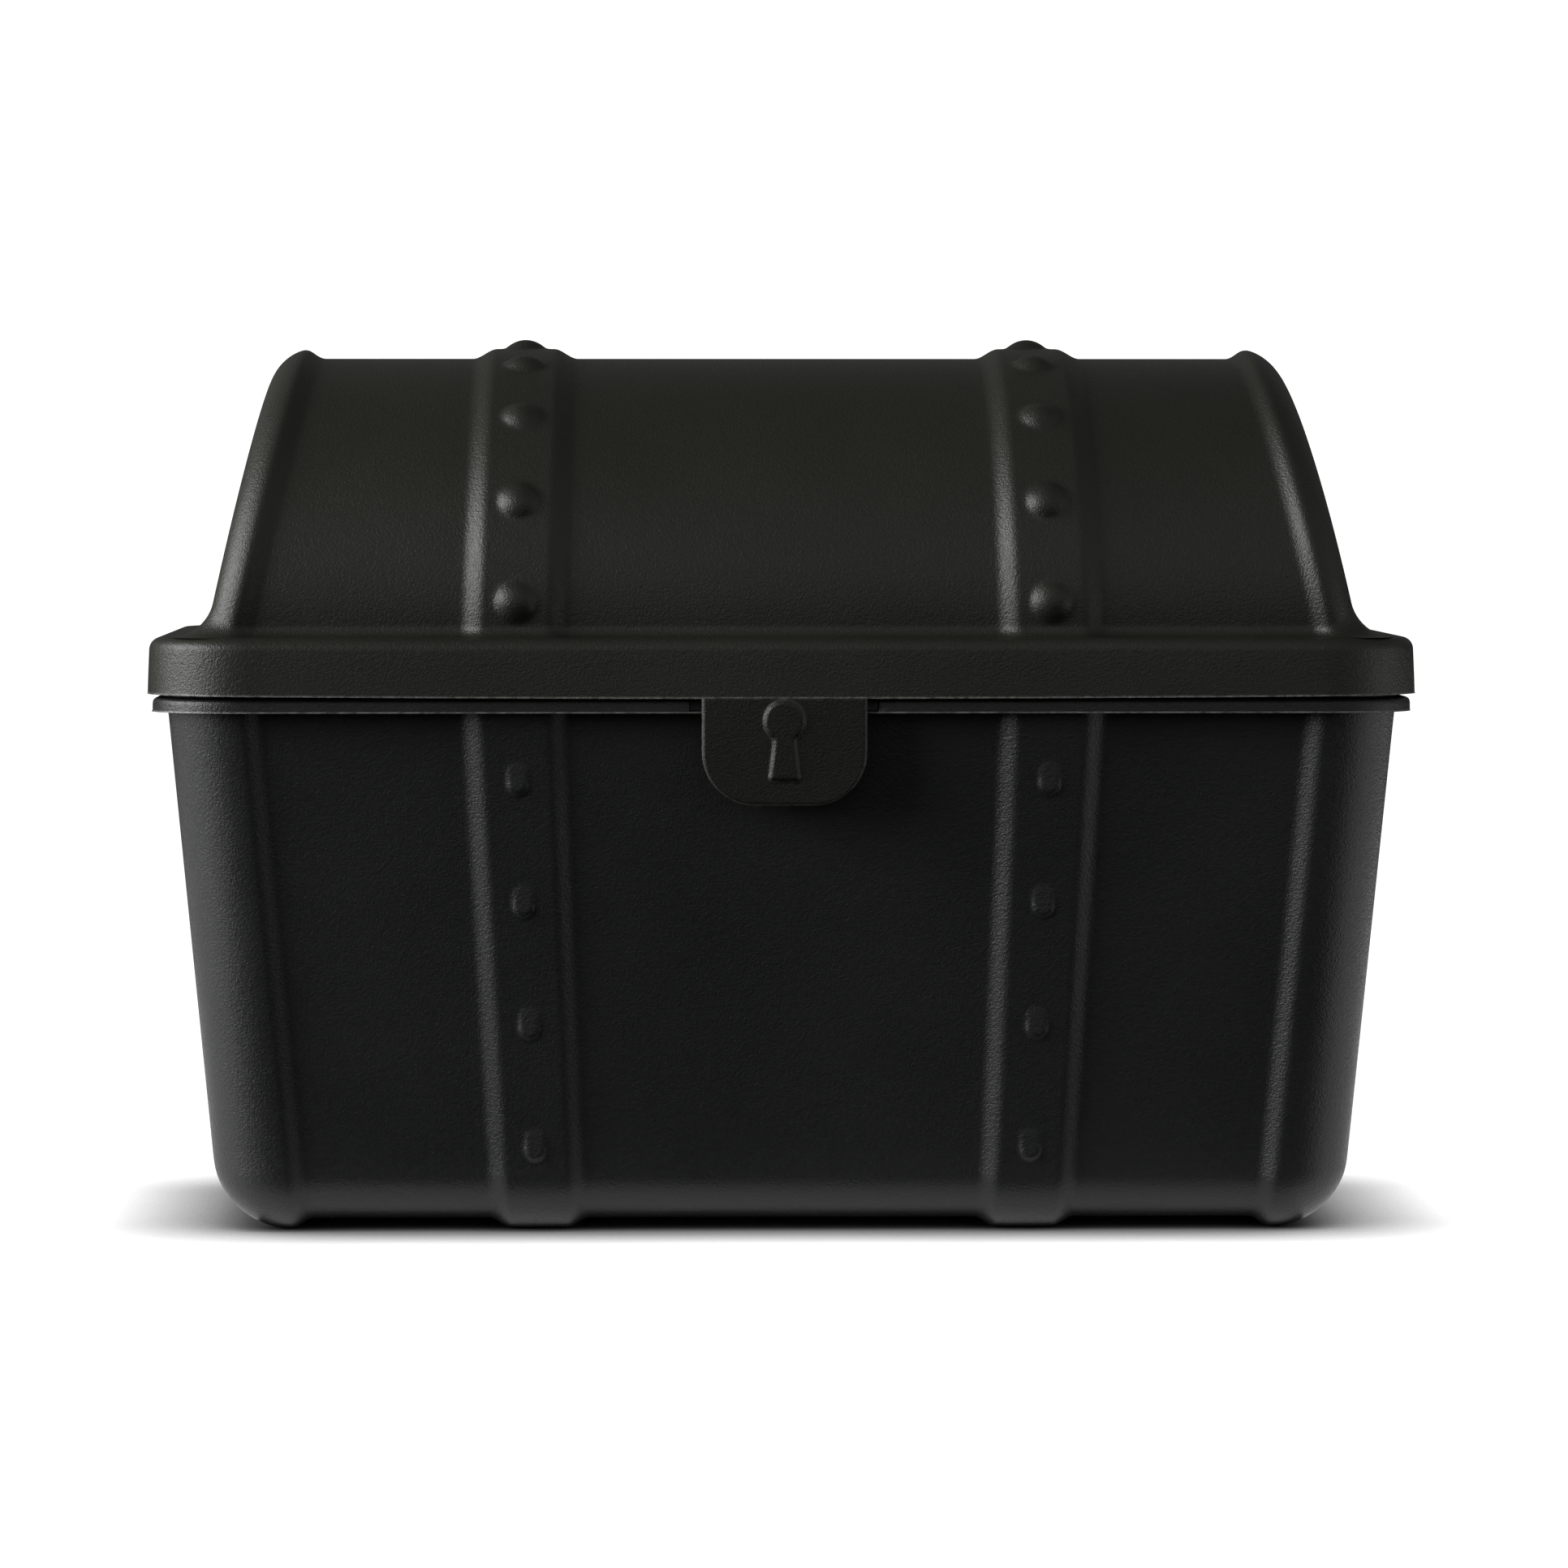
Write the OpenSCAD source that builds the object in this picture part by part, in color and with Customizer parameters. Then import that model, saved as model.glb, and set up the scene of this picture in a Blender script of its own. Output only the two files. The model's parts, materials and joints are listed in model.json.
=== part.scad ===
// Storage box in the shape of a small treasure chest, moulded in black plastic.
// A drafted tub and a domed lid, joined by two pin hinges at the back, with a
// keyhole tab that hangs from the lid over a notch in the tub's rim.
// The front faces -Y, the width runs along X and +Z is up.
// The origin is on the floor, under the middle of the whole box.

/* [Lid] */
// Width over the lid's skirt
lid_w = 298.2; // [240:0.1:360]
// Depth over the lid's skirt
lid_d = 170; // [140:1:220]
// Height of the skirt's lower edge above the floor
skirt_z = 126.2; // [100:0.1:160]
// Height of the ledge on top of the skirt
ledge_z = 139.8; // [110:0.1:175]
// Corner radius of the skirt in plan
skirt_r = 24; // [16:1:30]
// Thickness of the skirt
skirt_t = 2.3; // [1.5:0.1:4]
// Rounding along the skirt's top edge
skirt_edge_r = 3; // [1:0.5:4]
// Height of the dome's crown, on top of its straps
dome_z = 208.1; // [180:0.1:260]
// Depth of the dome at its foot, over its straps
dome_d = 156; // [130:1:200]
// Width of the dome at its foot
dome_w = 270.5; // [220:0.1:330]
// Lean of the dome's end walls from upright
dome_lean = 12.3; // [5:0.1:15]
// Rounding between the dome's end walls and its arch
dome_end_r = 8; // [5:0.5:14]
// How far the shoulder of each end band runs out onto that rounding
band_overlap = 2.5; // [0:0.5:4]
// Fillet between the ledge and the dome, at the front and back
foot_r_front = 3; // [1:0.5:4]
// Fillet between the ledge and the dome, at the ends
foot_r_end = 8; // [3:0.5:8]

/* [Tub] */
// Width of the tub just under its rim flange
tub_w = 288; // [230:0.1:350]
// Depth of the tub just under its rim flange
tub_d = 158.8; // [130:0.1:210]
// Draft of the tub's four walls
draft = 5.3; // [2:0.1:8]
// Rounding of the tub's upright corners
corner_r = 17; // [12:1:22]
// Rounding between the walls and the bottom
bottom_r = 15; // [8:1:20]
// Width over the rim flange
flange_w = 295.8; // [238:0.1:358]
// Depth over the rim flange
flange_d = 166.6; // [136:0.1:218]
// Height of the flange's underside
flange_z = 122.4; // [96:0.1:156]
// Thickness of the flange
flange_t = 3.3; // [2:0.1:5]
// Height of the rim's top edge, which stands inside the lid's skirt
lip_z = 137.1; // [128:0.1:172]
// Width of the notch in the flange behind the tab
notch_w = 44; // [36:1:60]

/* [Relief] */
// Wall thickness of both shells
wall = 2.4; // [1.6:0.1:4]
// Height of the straps and end bands above the panels between them
relief = 2.4; // [1:0.1:4]
// Distance of each strap from the middle, at the rim
strap_x = 62.7; // [40:0.1:90]
// Lean of the straps towards the middle, going up the lid
lid_strap_lean = 1.75; // [0:0.05:4]
// Width of a strap's flat top
strap_flat = 14; // [8:1:24]
// Width of the rounded shoulder on each side of a strap
shoulder = 6.2; // [3:0.1:8]
// Diameter of the rivet heads on the lid
lid_rivet_d = 9.6; // [6:0.2:14]
// Height of the rivet heads on the lid
lid_rivet_h = 2.2; // [1:0.1:4]
// Width of the rivet bumps on the tub
tub_rivet_w = 5.6; // [3:0.2:9]
// Height of the rivet bumps on the tub
tub_rivet_l = 8.4; // [5:0.2:12]
// Distance between the rivet bumps on the tub
tub_rivet_pitch = 28.7; // [20:0.1:36]

/* [Lock tab] */
// Width of the tab
tab_w = 38.4; // [30:0.2:50]
// Height of the tab's lower edge above the floor
tab_z = 101; // [85:0.1:115]
// Thickness of the tab
tab_t = 1.9; // [1.2:0.1:3]
// Radius of the tab's lower corners
tab_r = 12.5; // [5:0.5:18]
// Diameter of the raised keyhole's round head
keyhole_d = 10.4; // [6:0.2:14]
// Height of the keyhole above the tab's face
keyhole_h = 1; // [0.4:0.1:2]

/* [Hinges] */
// Distance of the hinge axis behind the middle
hinge_y = 89.2; // [72:0.1:115]
// Height of the hinge axis
hinge_z = 126; // [100:0.1:160]
// Radius of the hinge knuckles
knuckle_r = 3.8; // [3:0.1:6]
// Length of the lid's knuckle
lid_knuckle_l = 16; // [8:1:24]
// Length of each of the tub's two knuckles
tub_knuckle_l = 10; // [6:1:16]
// Radius of the hinge pins
pin_r = 1.55; // [1:0.05:2.5]

/* [Hidden] */
$fn = 48;

black_tub = [0.105, 0.107, 0.11];
black_lid = [0.13, 0.128, 0.12];
steel = [0.6, 0.6, 0.62];

arch_z = 143.6;
arch_h = dome_z - arch_z;
foot_h = 10;
dome_end_h = 12;
end_band = 17.6;
side_gap = 0.4;
pin_clearance = 0.05;
tab_y = -lid_d / 2 - 0.4;
notch_floor = 0.6;
tab_top_z = skirt_z - 0.6;
catch_w = 14;
catch_z = 107;
origin_y = (hinge_y + knuckle_r + tab_y - keyhole_h) / 2;

function s_curve(t) = 0.5 - 0.5 * cos(180 * t);

// The modules measure from the middle of the skirt's plan. This moves a node
// so that the origin is under the middle of the whole box.
module from_origin() {
    translate([0, -origin_y, 0])
        children();
}

// A station is a cut through the shell. It holds its side, its share along the
// straight part of the length and of the depth, the direction that the wall
// faces there, and how far the surface is sunk: 0 on a strap or band, 1 on a panel.
function shoulder_up(from, run) = [
    for (t = [0:0.25:1]) [(from + t * shoulder) / run, 1, 0, 1, 1 - s_curve(t)]
];
function shoulder_down(from, run) = [
    for (t = [0:0.25:1]) [(from + t * shoulder) / run, 1, 0, 1, s_curve(t)]
];
function band_shoulder(run, overlap) = [
    for (t = [0:0.25:1])
        let (up = t * (shoulder - overlap))
        [(run - shoulder + overlap + up) / run, 1, 0, 1, 1 - s_curve(up / shoulder)]
];
function corner_turn() = [
    for (turn = [18:18:90]) [1, 1, sin(turn), cos(turn), 0]
];
function end_shoulder(from, run) = [
    for (t = [0:0.25:1]) [1, 1 - (from + t * shoulder) / run, 1, 0, s_curve(t)]
];
function end_panel(run) = [
    for (share = [0.58, 0.34, 0.1]) [1, share, 1, 0, 1]
];
function half_stations(half_w, half_d, r, overlap = 0) = concat(
    shoulder_up(strap_x - strap_flat / 2 - shoulder, half_w - r),
    shoulder_down(strap_x + strap_flat / 2, half_w - r),
    band_shoulder(half_w - r, overlap),
    corner_turn(),
    end_shoulder(end_band - r, half_d - r),
    end_panel(half_d - r)
);
function both_sides(half) = concat(
    [for (i = [len(half) - 1:-1:0]) concat([-1], half[i])],
    [[1, 0, 1, 0, 1, 1]],
    [for (i = [0:len(half) - 1]) concat([1], half[i])]
);

// The point where a rounded rectangle in plan meets a station.
function plan_point(s, half_w, half_d, r, out) = [
    s[0] * (s[1] * (half_w - r) + (r + out) * s[3]),
    s[2] * (half_d - r) + (r + out) * s[4]
];

// One closed skin from a ring of points at each station. Half of a ring runs
// from the middle line, round the shell's free edge and back to the middle line
// on its other face, and the half behind mirrors it. The first and last rings
// are zipped shut from front to back.
module shell(stations, half_rings) {
    rows = len(half_rings[0]);
    ring = 2 * rows - 2;
    points = [
        for (half = half_rings)
            for (k = [0:ring - 1])
                k < rows ? [half[k].x, -half[k].y, half[k].z] : half[ring - k]
    ];
    sides = [
        for (i = [0:len(stations) - 2])
            for (k = [0:ring - 1])
                let (
                    n = (k + 1) % ring,
                    a = i * ring + k,
                    b = i * ring + n,
                    c = a + ring,
                    d = b + ring
                )
                each [[a, c, d], [a, d, b]]
    ];
    last = (len(stations) - 1) * ring;
    zips = [
        for (k = [0:rows - 2])
            let (
                a = k,
                b = k + 1,
                c = (ring - k) % ring,
                d = ring - k - 1
            )
            each concat(
                b == d ? [] : [[a, b, d], [last + a, last + d, last + b]],
                a == c ? [] : [[a, d, c], [last + a, last + c, last + d]]
            )
    ];
    polyhedron(points = points, faces = concat(sides, zips), convexity = 8);
}

// ---- tub ----

function tub_half_w(z) = tub_w / 2 - (flange_z - z) * tan(draft);
function tub_half_d(z) = tub_d / 2 - (flange_z - z) * tan(draft);
// The straps lean inwards with the ends, in proportion.
function tub_run(share, z) = share * (tub_half_w(z) - corner_r);
function tub_at(s, z, out) = [
    s[0] * (tub_run(s[1], z) + (corner_r + out) * s[3]),
    plan_point(s, tub_half_w(z), tub_half_d(z), corner_r, out).y,
    z
];
function flange_at(s, z, out) =
    let (p = plan_point(s, flange_w / 2, flange_d / 2, corner_r + 4, out))
    [p.x, p.y, z];
function tub_sink(s, out) = tub_half_d(0) - tub_at(s, 0, out).y;
function fillet_r(sink) = max(bottom_r - sink, 2);
function tub_fillet(s, out, angle) =
    let (
        sink = tub_sink(s, out),
        r = fillet_r(sink),
        z = sink + r - r * sin(angle)
    )
    [tub_at(s, z, out).x, tub_at(s, sink + r, out).y - r + r * cos(angle), z];
function tub_bottom(s, out) =
    let (
        sink = tub_sink(s, out),
        z = sink > bottom_r ? sink - 1 : sink
    )
    [tub_at(s, z, out).x, 0, z];
function tub_wall(s, out, top, share) =
    let (low = tub_sink(s, out) + fillet_r(tub_sink(s, out)))
    tub_at(s, low + share * (top - low), out);
function tub_ring(s) = let (
    skin = -relief * s[5],
    inside = skin - wall,
    lip_out = -3.8,
    lip_in = lip_out - 2.2
) concat(
    [tub_bottom(s, inside)],
    [for (angle = [90:-22.5:0]) tub_fillet(s, inside, angle)],
    [for (share = [0.5, 1]) tub_wall(s, inside, flange_z - 2, share)],
    [
        flange_at(s, flange_z, lip_in),
        flange_at(s, lip_z, lip_in),
        flange_at(s, lip_z, lip_out),
        flange_at(s, flange_z + flange_t, lip_out),
        flange_at(s, flange_z + flange_t, 0),
        flange_at(s, flange_z, 0)
    ],
    [for (share = [1, 0.5]) tub_wall(s, skin, flange_z, share)],
    [for (angle = [0:22.5:90]) tub_fillet(s, skin, angle)],
    [tub_bottom(s, skin)]
);

module tub_rivet(side, z) {
    x = side * tub_run(strap_x / (tub_w / 2 - corner_r), z);
    low = z - tub_rivet_l / 2;
    straight = tub_rivet_l - tub_rivet_w / 2;
    face_y = tub_half_d(z + tub_rivet_l / 2) + 0.3;
    root = face_y - 2;
    for (back = [0, 1])
        mirror([0, back, 0])
            translate([x, -root, low + tub_rivet_w / 2])
                rotate([90, 0, 0])
                    linear_extrude(face_y - root) {
                        circle(d = tub_rivet_w);
                        translate([-tub_rivet_w / 2, 0])
                            square([tub_rivet_w, straight]);
                    }
}

// The block behind the tab that its ridge snaps past.
module tub_catch() {
    front = -lid_d / 2 + 4.5;
    root = -tub_half_d(catch_z) + relief + 1.5;
    translate([-catch_w / 2, 0, 0])
        rotate([90, 0, 90])
            linear_extrude(catch_w)
                polygon([
                    [root, catch_z + 5],
                    [front, catch_z + 1.8],
                    [front, catch_z],
                    [root, catch_z - 1]
                ]);
}

module knuckle(length, bore_r, root, block_z, block_h) {
    difference() {
        union() {
            translate([-length / 2, 0, 0])
                rotate([0, 90, 0])
                    cylinder(r = knuckle_r, h = length);
            translate([-length / 2, root - hinge_y, block_z])
                cube([length, hinge_y - root, block_h]);
        }
        translate([-length / 2 - 1, 0, 0])
            rotate([0, 90, 0])
                cylinder(r = bore_r, h = length + 2);
    }
}

module base_tub() {
    stations = both_sides(half_stations(tub_w / 2, tub_d / 2, corner_r));
    color(black_tub) from_origin() {
        difference() {
            shell(stations, [for (s = stations) tub_ring(s)]);
            translate([-notch_w / 2, -flange_d / 2 - 1, flange_z + notch_floor])
                cube([notch_w, 4.4, flange_t]);
        }
        for (side = [-1, 1])
            for (i = [0:3])
                tub_rivet(side, 21 + i * tub_rivet_pitch);
        tub_catch();
        for (side = [-1, 1])
            for (end = [-1, 1])
                translate([
                    side * strap_x + end * (lid_knuckle_l + tub_knuckle_l + 2 * side_gap) / 2,
                    hinge_y,
                    hinge_z
                ])
                    knuckle(tub_knuckle_l, pin_r + 0.01, flange_d / 2 - 2, -3.3, 2.7);
    }
}

// ---- lid ----

// The straps lean a little, the end bands lean with the ends, and the panels
// between them are stretched to fit.
function strap_share(z) = 1 - (z - ledge_z) * tan(lid_strap_lean) / strap_x;
function dome_x(s, z, out) =
    let (
        x = s[1] * (dome_w / 2 - dome_end_r) + (dome_end_r + out) * s[3],
        strap_toe = strap_x + strap_flat / 2 + shoulder,
        band_toe = dome_w / 2 - dome_end_r - shoulder + band_overlap,
        drawn_in = (z - ledge_z) * tan(dome_lean),
        start = strap_toe * strap_share(z),
        stretch = (band_toe - drawn_in - start) / (band_toe - strap_toe)
    )
    s[0] * (
        x < strap_toe ? x * strap_share(z)
        : x < band_toe ? start + (x - strap_toe) * stretch
        : x - drawn_in
    );
function dome_half_d(s, out) = plan_point(s, dome_w / 2, dome_d / 2, dome_end_r, out).y;
function arch_rise(s, out) =
    let (sink = dome_d / 2 - dome_half_d(s, out))
    arch_h - sink + (dome_d / 2 - arch_h + dome_end_h) * pow(2 * sink / dome_d, 2);
function arch_y(s, z, out) =
    z < arch_z
        ? dome_half_d(s, out)
        : dome_half_d(s, out) * sqrt(max(0, 1 - pow((z - arch_z) / arch_rise(s, out), 2)));
function dome_at(s, out, share) =
    let (
        low = asin((ledge_z + foot_h - arch_z) / arch_rise(s, out)),
        angle = low + (90 - low) * share,
        z = arch_z + arch_rise(s, out) * sin(angle)
    )
    [dome_x(s, z, out), share == 1 ? 0 : dome_half_d(s, out) * cos(angle), z];
function foot_r(s) = foot_r_front + (foot_r_end - foot_r_front) * pow(s[3], 2);
function foot_flare(s, h) =
    let (r = foot_r(s))
    h >= r ? 0 : r * (1 - sqrt(1 - pow(1 - h / r, 2)));
function foot_at(s, out, h, drop) =
    let (
        z = ledge_z + h - drop,
        flare = out + foot_flare(s, h)
    )
    [dome_x(s, z, flare), arch_y(s, z, flare), z];
function skirt_at(s, z, in) =
    let (p = plan_point(s, lid_w / 2, lid_d / 2, skirt_r, -in))
    [p.x, p.y, z];
function lid_ring(s) = let (
    skin = -relief * s[5],
    inside = skin - wall,
    r = skirt_edge_r
) concat(
    [for (share = [1:-0.125:0]) dome_at(s, skin, share)],
    [for (h = [5, 2.5, 1, 0.3, 0]) foot_at(s, skin, h, 0)],
    [for (angle = [90:-30:0])
        skirt_at(s, ledge_z - r + r * sin(angle), 0.4 + r - r * cos(angle))],
    [
        skirt_at(s, skirt_z, 0),
        skirt_at(s, skirt_z, skirt_t),
        skirt_at(s, ledge_z - wall, skirt_t + 0.4)
    ],
    [for (h = [0, 1, 5]) foot_at(s, inside, h, h == 0 ? wall : 0)],
    [for (share = [0:0.125:1]) dome_at(s, inside, share)]
);

module lid_rivet() {
    ball_r = (pow(lid_rivet_d / 2, 2) + pow(lid_rivet_h, 2)) / (2 * lid_rivet_h);
    rim_angle = asin(lid_rivet_d / 2 / ball_r);
    root = 1.2;
    rotate_extrude()
        polygon(concat(
            [[0, -root]],
            [[lid_rivet_d / 2, -root]],
            [for (t = [1:-0.2:0])
                ball_r * [sin(t * rim_angle), cos(t * rim_angle)]
                    - [0, ball_r - lid_rivet_h]]
        ));
}

module lid_strap_rivets(side) {
    half_d = dome_d / 2;
    for (angle = [4, 26, 48, 69, 90, 111, 132, 154, 176])
        let (
            y = -half_d * cos(angle),
            z = arch_h * sin(angle),
            tilt = atan2(y / pow(half_d, 2), z / pow(arch_h, 2))
        )
        translate([side * strap_x * strap_share(arch_z + z), y, arch_z + z])
            rotate([-tilt, 0, 0])
                lid_rivet();
}

module lid() {
    stations = both_sides(half_stations(dome_w / 2, dome_d / 2, dome_end_r, band_overlap));
    color(black_lid) from_origin() {
        shell(stations, [for (s = stations) lid_ring(s)]);
        for (side = [-1, 1]) {
            lid_strap_rivets(side);
            translate([side * strap_x, hinge_y, hinge_z])
                knuckle(lid_knuckle_l, pin_r + pin_clearance, lid_d / 2 - 1.5, 0.6, 3);
        }
    }
}

// ---- lock tab ----

module tab_outline() {
    side = tab_w / 2 - tab_r;
    for (x = [-side, side])
        translate([x, tab_z + tab_r])
            circle(tab_r);
    translate([-side, tab_z])
        square([2 * side, tab_r]);
    translate([-tab_w / 2, tab_z + tab_r])
        square([tab_w, tab_top_z - tab_z - tab_r]);
}

module keyhole() {
    head_z = tab_top_z - keyhole_d / 2 - 0.1;
    foot_z = head_z - 14.4;
    translate([0, head_z])
        circle(d = keyhole_d);
    polygon([[-3, head_z], [3, head_z], [4.2, foot_z], [-4.2, foot_z]]);
}

module tab_ridge() {
    back = tab_y + tab_t;
    polygon([
        [back - 0.5, catch_z - 0.6],
        [back + 2.6, catch_z - 0.6],
        [back + 2.6, catch_z - 1.4],
        [back - 0.5, catch_z - 3.6]
    ]);
}

module lock_tab() {
    color(black_lid) from_origin() {
        translate([0, tab_y + tab_t, 0])
            rotate([90, 0, 0])
                linear_extrude(tab_t)
                    tab_outline();
        translate([-catch_w / 2, 0, 0])
            rotate([90, 0, 90])
                linear_extrude(catch_w)
                    tab_ridge();
        translate([0, tab_y + 0.5, 0])
            rotate([90, 0, 0])
                linear_extrude(keyhole_h + 0.5)
                    keyhole();
    }
}

// ---- hinge pins ----

module hinge_pin() {
    half = lid_knuckle_l / 2 + side_gap + tub_knuckle_l;
    color(steel)
        rotate([0, 90, 0]) {
            translate([0, 0, -half - 0.5])
                cylinder(r = pin_r, h = 2 * half + 1);
            translate([0, 0, half + 0.2])
                cylinder(r = pin_r + 1, h = 1.2);
        }
}

module hinge_pin_right() {
    from_origin()
        translate([strap_x, hinge_y, hinge_z])
            hinge_pin();
}

module hinge_pin_left() {
    mirror([1, 0, 0])
        hinge_pin_right();
}

base_tub();
lid();
lock_tab();
hinge_pin_left();
hinge_pin_right();
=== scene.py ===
import json
import math

import bpy
import numpy as np
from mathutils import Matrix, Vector


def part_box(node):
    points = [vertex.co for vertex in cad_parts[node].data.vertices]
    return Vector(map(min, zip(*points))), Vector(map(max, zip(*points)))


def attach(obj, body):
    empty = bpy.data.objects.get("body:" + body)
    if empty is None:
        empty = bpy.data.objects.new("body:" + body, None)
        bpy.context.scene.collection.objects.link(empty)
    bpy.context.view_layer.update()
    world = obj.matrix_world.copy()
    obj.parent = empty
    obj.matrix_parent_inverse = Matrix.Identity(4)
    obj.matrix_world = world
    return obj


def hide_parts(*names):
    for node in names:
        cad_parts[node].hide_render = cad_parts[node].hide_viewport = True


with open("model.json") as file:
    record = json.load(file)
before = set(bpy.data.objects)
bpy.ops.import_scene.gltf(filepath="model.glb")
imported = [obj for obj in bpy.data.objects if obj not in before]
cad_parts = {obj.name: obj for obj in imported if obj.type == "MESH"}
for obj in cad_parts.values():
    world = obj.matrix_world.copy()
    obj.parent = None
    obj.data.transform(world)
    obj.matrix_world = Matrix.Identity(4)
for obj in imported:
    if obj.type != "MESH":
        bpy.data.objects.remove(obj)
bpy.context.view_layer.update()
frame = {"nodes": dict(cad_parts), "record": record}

MM = 0.001

# ---------------------------------------------------------------- sizes, in mm

LID_D = 170
joint_at = {
    joint["name"]: [v / MM for v in joint["pos_m"]]
    for joint in frame["record"]["behaviour"]["joints"]
}
# Lengths below are measured from the middle of the skirt's plan.
MIDDLE_Y = joint_at["tab_hinge"][1] + LID_D / 2


def box_mm(node):
    return [[v / MM - shift for v, shift in zip(corner, (0, MIDDLE_Y, 0))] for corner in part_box(node)]


lid_low, lid_high = box_mm("lid")
tub_low, tub_high = box_mm("base_tub")
tab_low, tab_high = box_mm("lock_tab")
hinge_y = joint_at["lid_hinge"][1] - MIDDLE_Y
hinge_z = joint_at["lid_hinge"][2]

# The lid's lower rim is its skirt, and the ledge is the flat top of the skirt.
LID_W = lid_high[0] - lid_low[0]
SKIRT_Z = 126.5
SKIRT_SAG = 0.7
SKIRT_R = 24
SKIRT_T = 2.3
SKIRT_EDGE_R = 3
LEDGE_Z = 139.8

# The dome's arch springs from ARCH_Z, and is DOME_END_H high at the middle of the end walls.
DOME_Z = 208.1
DOME_D = 156
DOME_W = 269.8
DOME_LEAN = math.tan(math.radians(12.3))
DOME_END_R = 8
DOME_END_H = 12
ARCH_Z = 143.6
ARCH_H = DOME_Z - ARCH_Z
# The wall's lowest part, with the fillet between the dome and the ledge.
FOOT_H = 10
FOOT_R_FRONT = 3
FOOT_R_END = 8

# The tub, its rim flange, and the lip that stands inside the lid's skirt.
TUB_W = 288
TUB_D = 158.8
DRAFT = math.tan(math.radians(5.3))
CORNER_R = 17
BOTTOM_R = 15
FLANGE_W = tub_high[0] - tub_low[0]
FLANGE_D = 166.6
FLANGE_R = CORNER_R + 4
FLANGE_Z = 122.4
FLANGE_TOP = 125.7
LIP_Z = tub_high[2]
LIP_OUT = 3.8
LIP_IN = 6.0
NOTCH_HALF = 22
FLASH = 0.2

# The straps and end bands stand RELIEF above the panels between them.
WALL = 2.4
RELIEF = 2.4
STRAP_X = 62.7
LID_STRAP_LEAN = math.tan(math.radians(1.75))
STRAP_FLAT = 14
SHOULDER = 6.2
END_BAND = 17.6
# How far an end band's shoulder runs out onto the rounding of the dome's end.
BAND_OVERLAP = 2.5

LID_RIVET_D = 9.6
LID_RIVET_H = 2.2
LID_RIVET_ANGLES = (4, 26, 48, 69, 90)
TUB_RIVET_W = 5.6
TUB_RIVET_L = 8.4
TUB_RIVET_LEAN = 1.35
TUB_RIVET_Z = (21, 49.7, 78.4, 107.1)

TAB_W = tab_high[0] - tab_low[0]
TAB_R = 12.5
TAB_T = 1.9
TAB_FACE_Y = -LID_D / 2 - 0.4
# The raised keyhole is a round head and a shank. Half the shank's width is NECK_HALF
# at the head's middle, and FOOT_WIDENS more at its foot.
KEYHOLE_D = 10.4
KEYHOLE_H = 0.7
KEYHOLE_DROP = 14.4
KEYHOLE_SLOPE = 1.2
NECK_HALF = 2.3
FOOT_WIDENS = 1.8
CATCH_Z = 107
CATCH_HALF = 7

KNUCKLE_R = 3.78
LID_KNUCKLE_L = 16
TUB_KNUCKLE_L = 10
KNUCKLE_GAP = 0.4
PIN_R = 1.55

# Spacing of the cuts through a shell: on its flats, across its shoulders and on its ends.
FLAT_STEP = 2.6
SHOULDER_STEP = 0.5
END_STEP = 3


# ------------------------------------------------------------- small functions

def s_curve(t):
    return 0.5 - 0.5 * np.cos(np.pi * np.clip(t, 0, 1))


def smoothstep(t):
    t = np.clip(t, 0, 1)
    return t * t * (3 - 2 * t)


def steps(start, end, step):
    """Evenly spaced values from start up to, but not at, end."""
    count = max(1, math.ceil(abs(end - start) / step))
    return list(np.linspace(start, end, count, endpoint=False))


def close_steps(start, end, wide, fine, centres, reach):
    """Values from start to end, fine within reach of any centre and wide elsewhere."""
    sign = 1 if end > start else -1
    values = [start]
    while sign * (end - values[-1]) > fine:
        near = min([abs(values[-1] - c) for c in centres] + [reach * 9])
        step = fine if near < reach else min(wide, max(fine, near - reach + fine))
        values.append(values[-1] + sign * step)
    values[-1] = end
    return values


def ragged(along, wave, seed):
    """Smooth random values from 0 to 1 at distances along an edge that is LID_W long."""
    source = np.random.default_rng(seed)
    knots = source.random(int(LID_W / wave) + 4)
    places = np.arange(int(LID_W) + 2)
    values = np.interp(places / wave, np.arange(len(knots)), knots)
    return np.interp(along, places, values)


def new_mesh(name, points, faces):
    """A mesh from points in mm, measured from the middle of the skirt's plan."""
    mesh = bpy.data.meshes.new(name)
    mesh.from_pydata((np.array(points) + (0, MIDDLE_Y, 0)) * MM, [], faces)
    mesh.update()
    return mesh


# --------------------------------------------------------------- moulded shells

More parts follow.
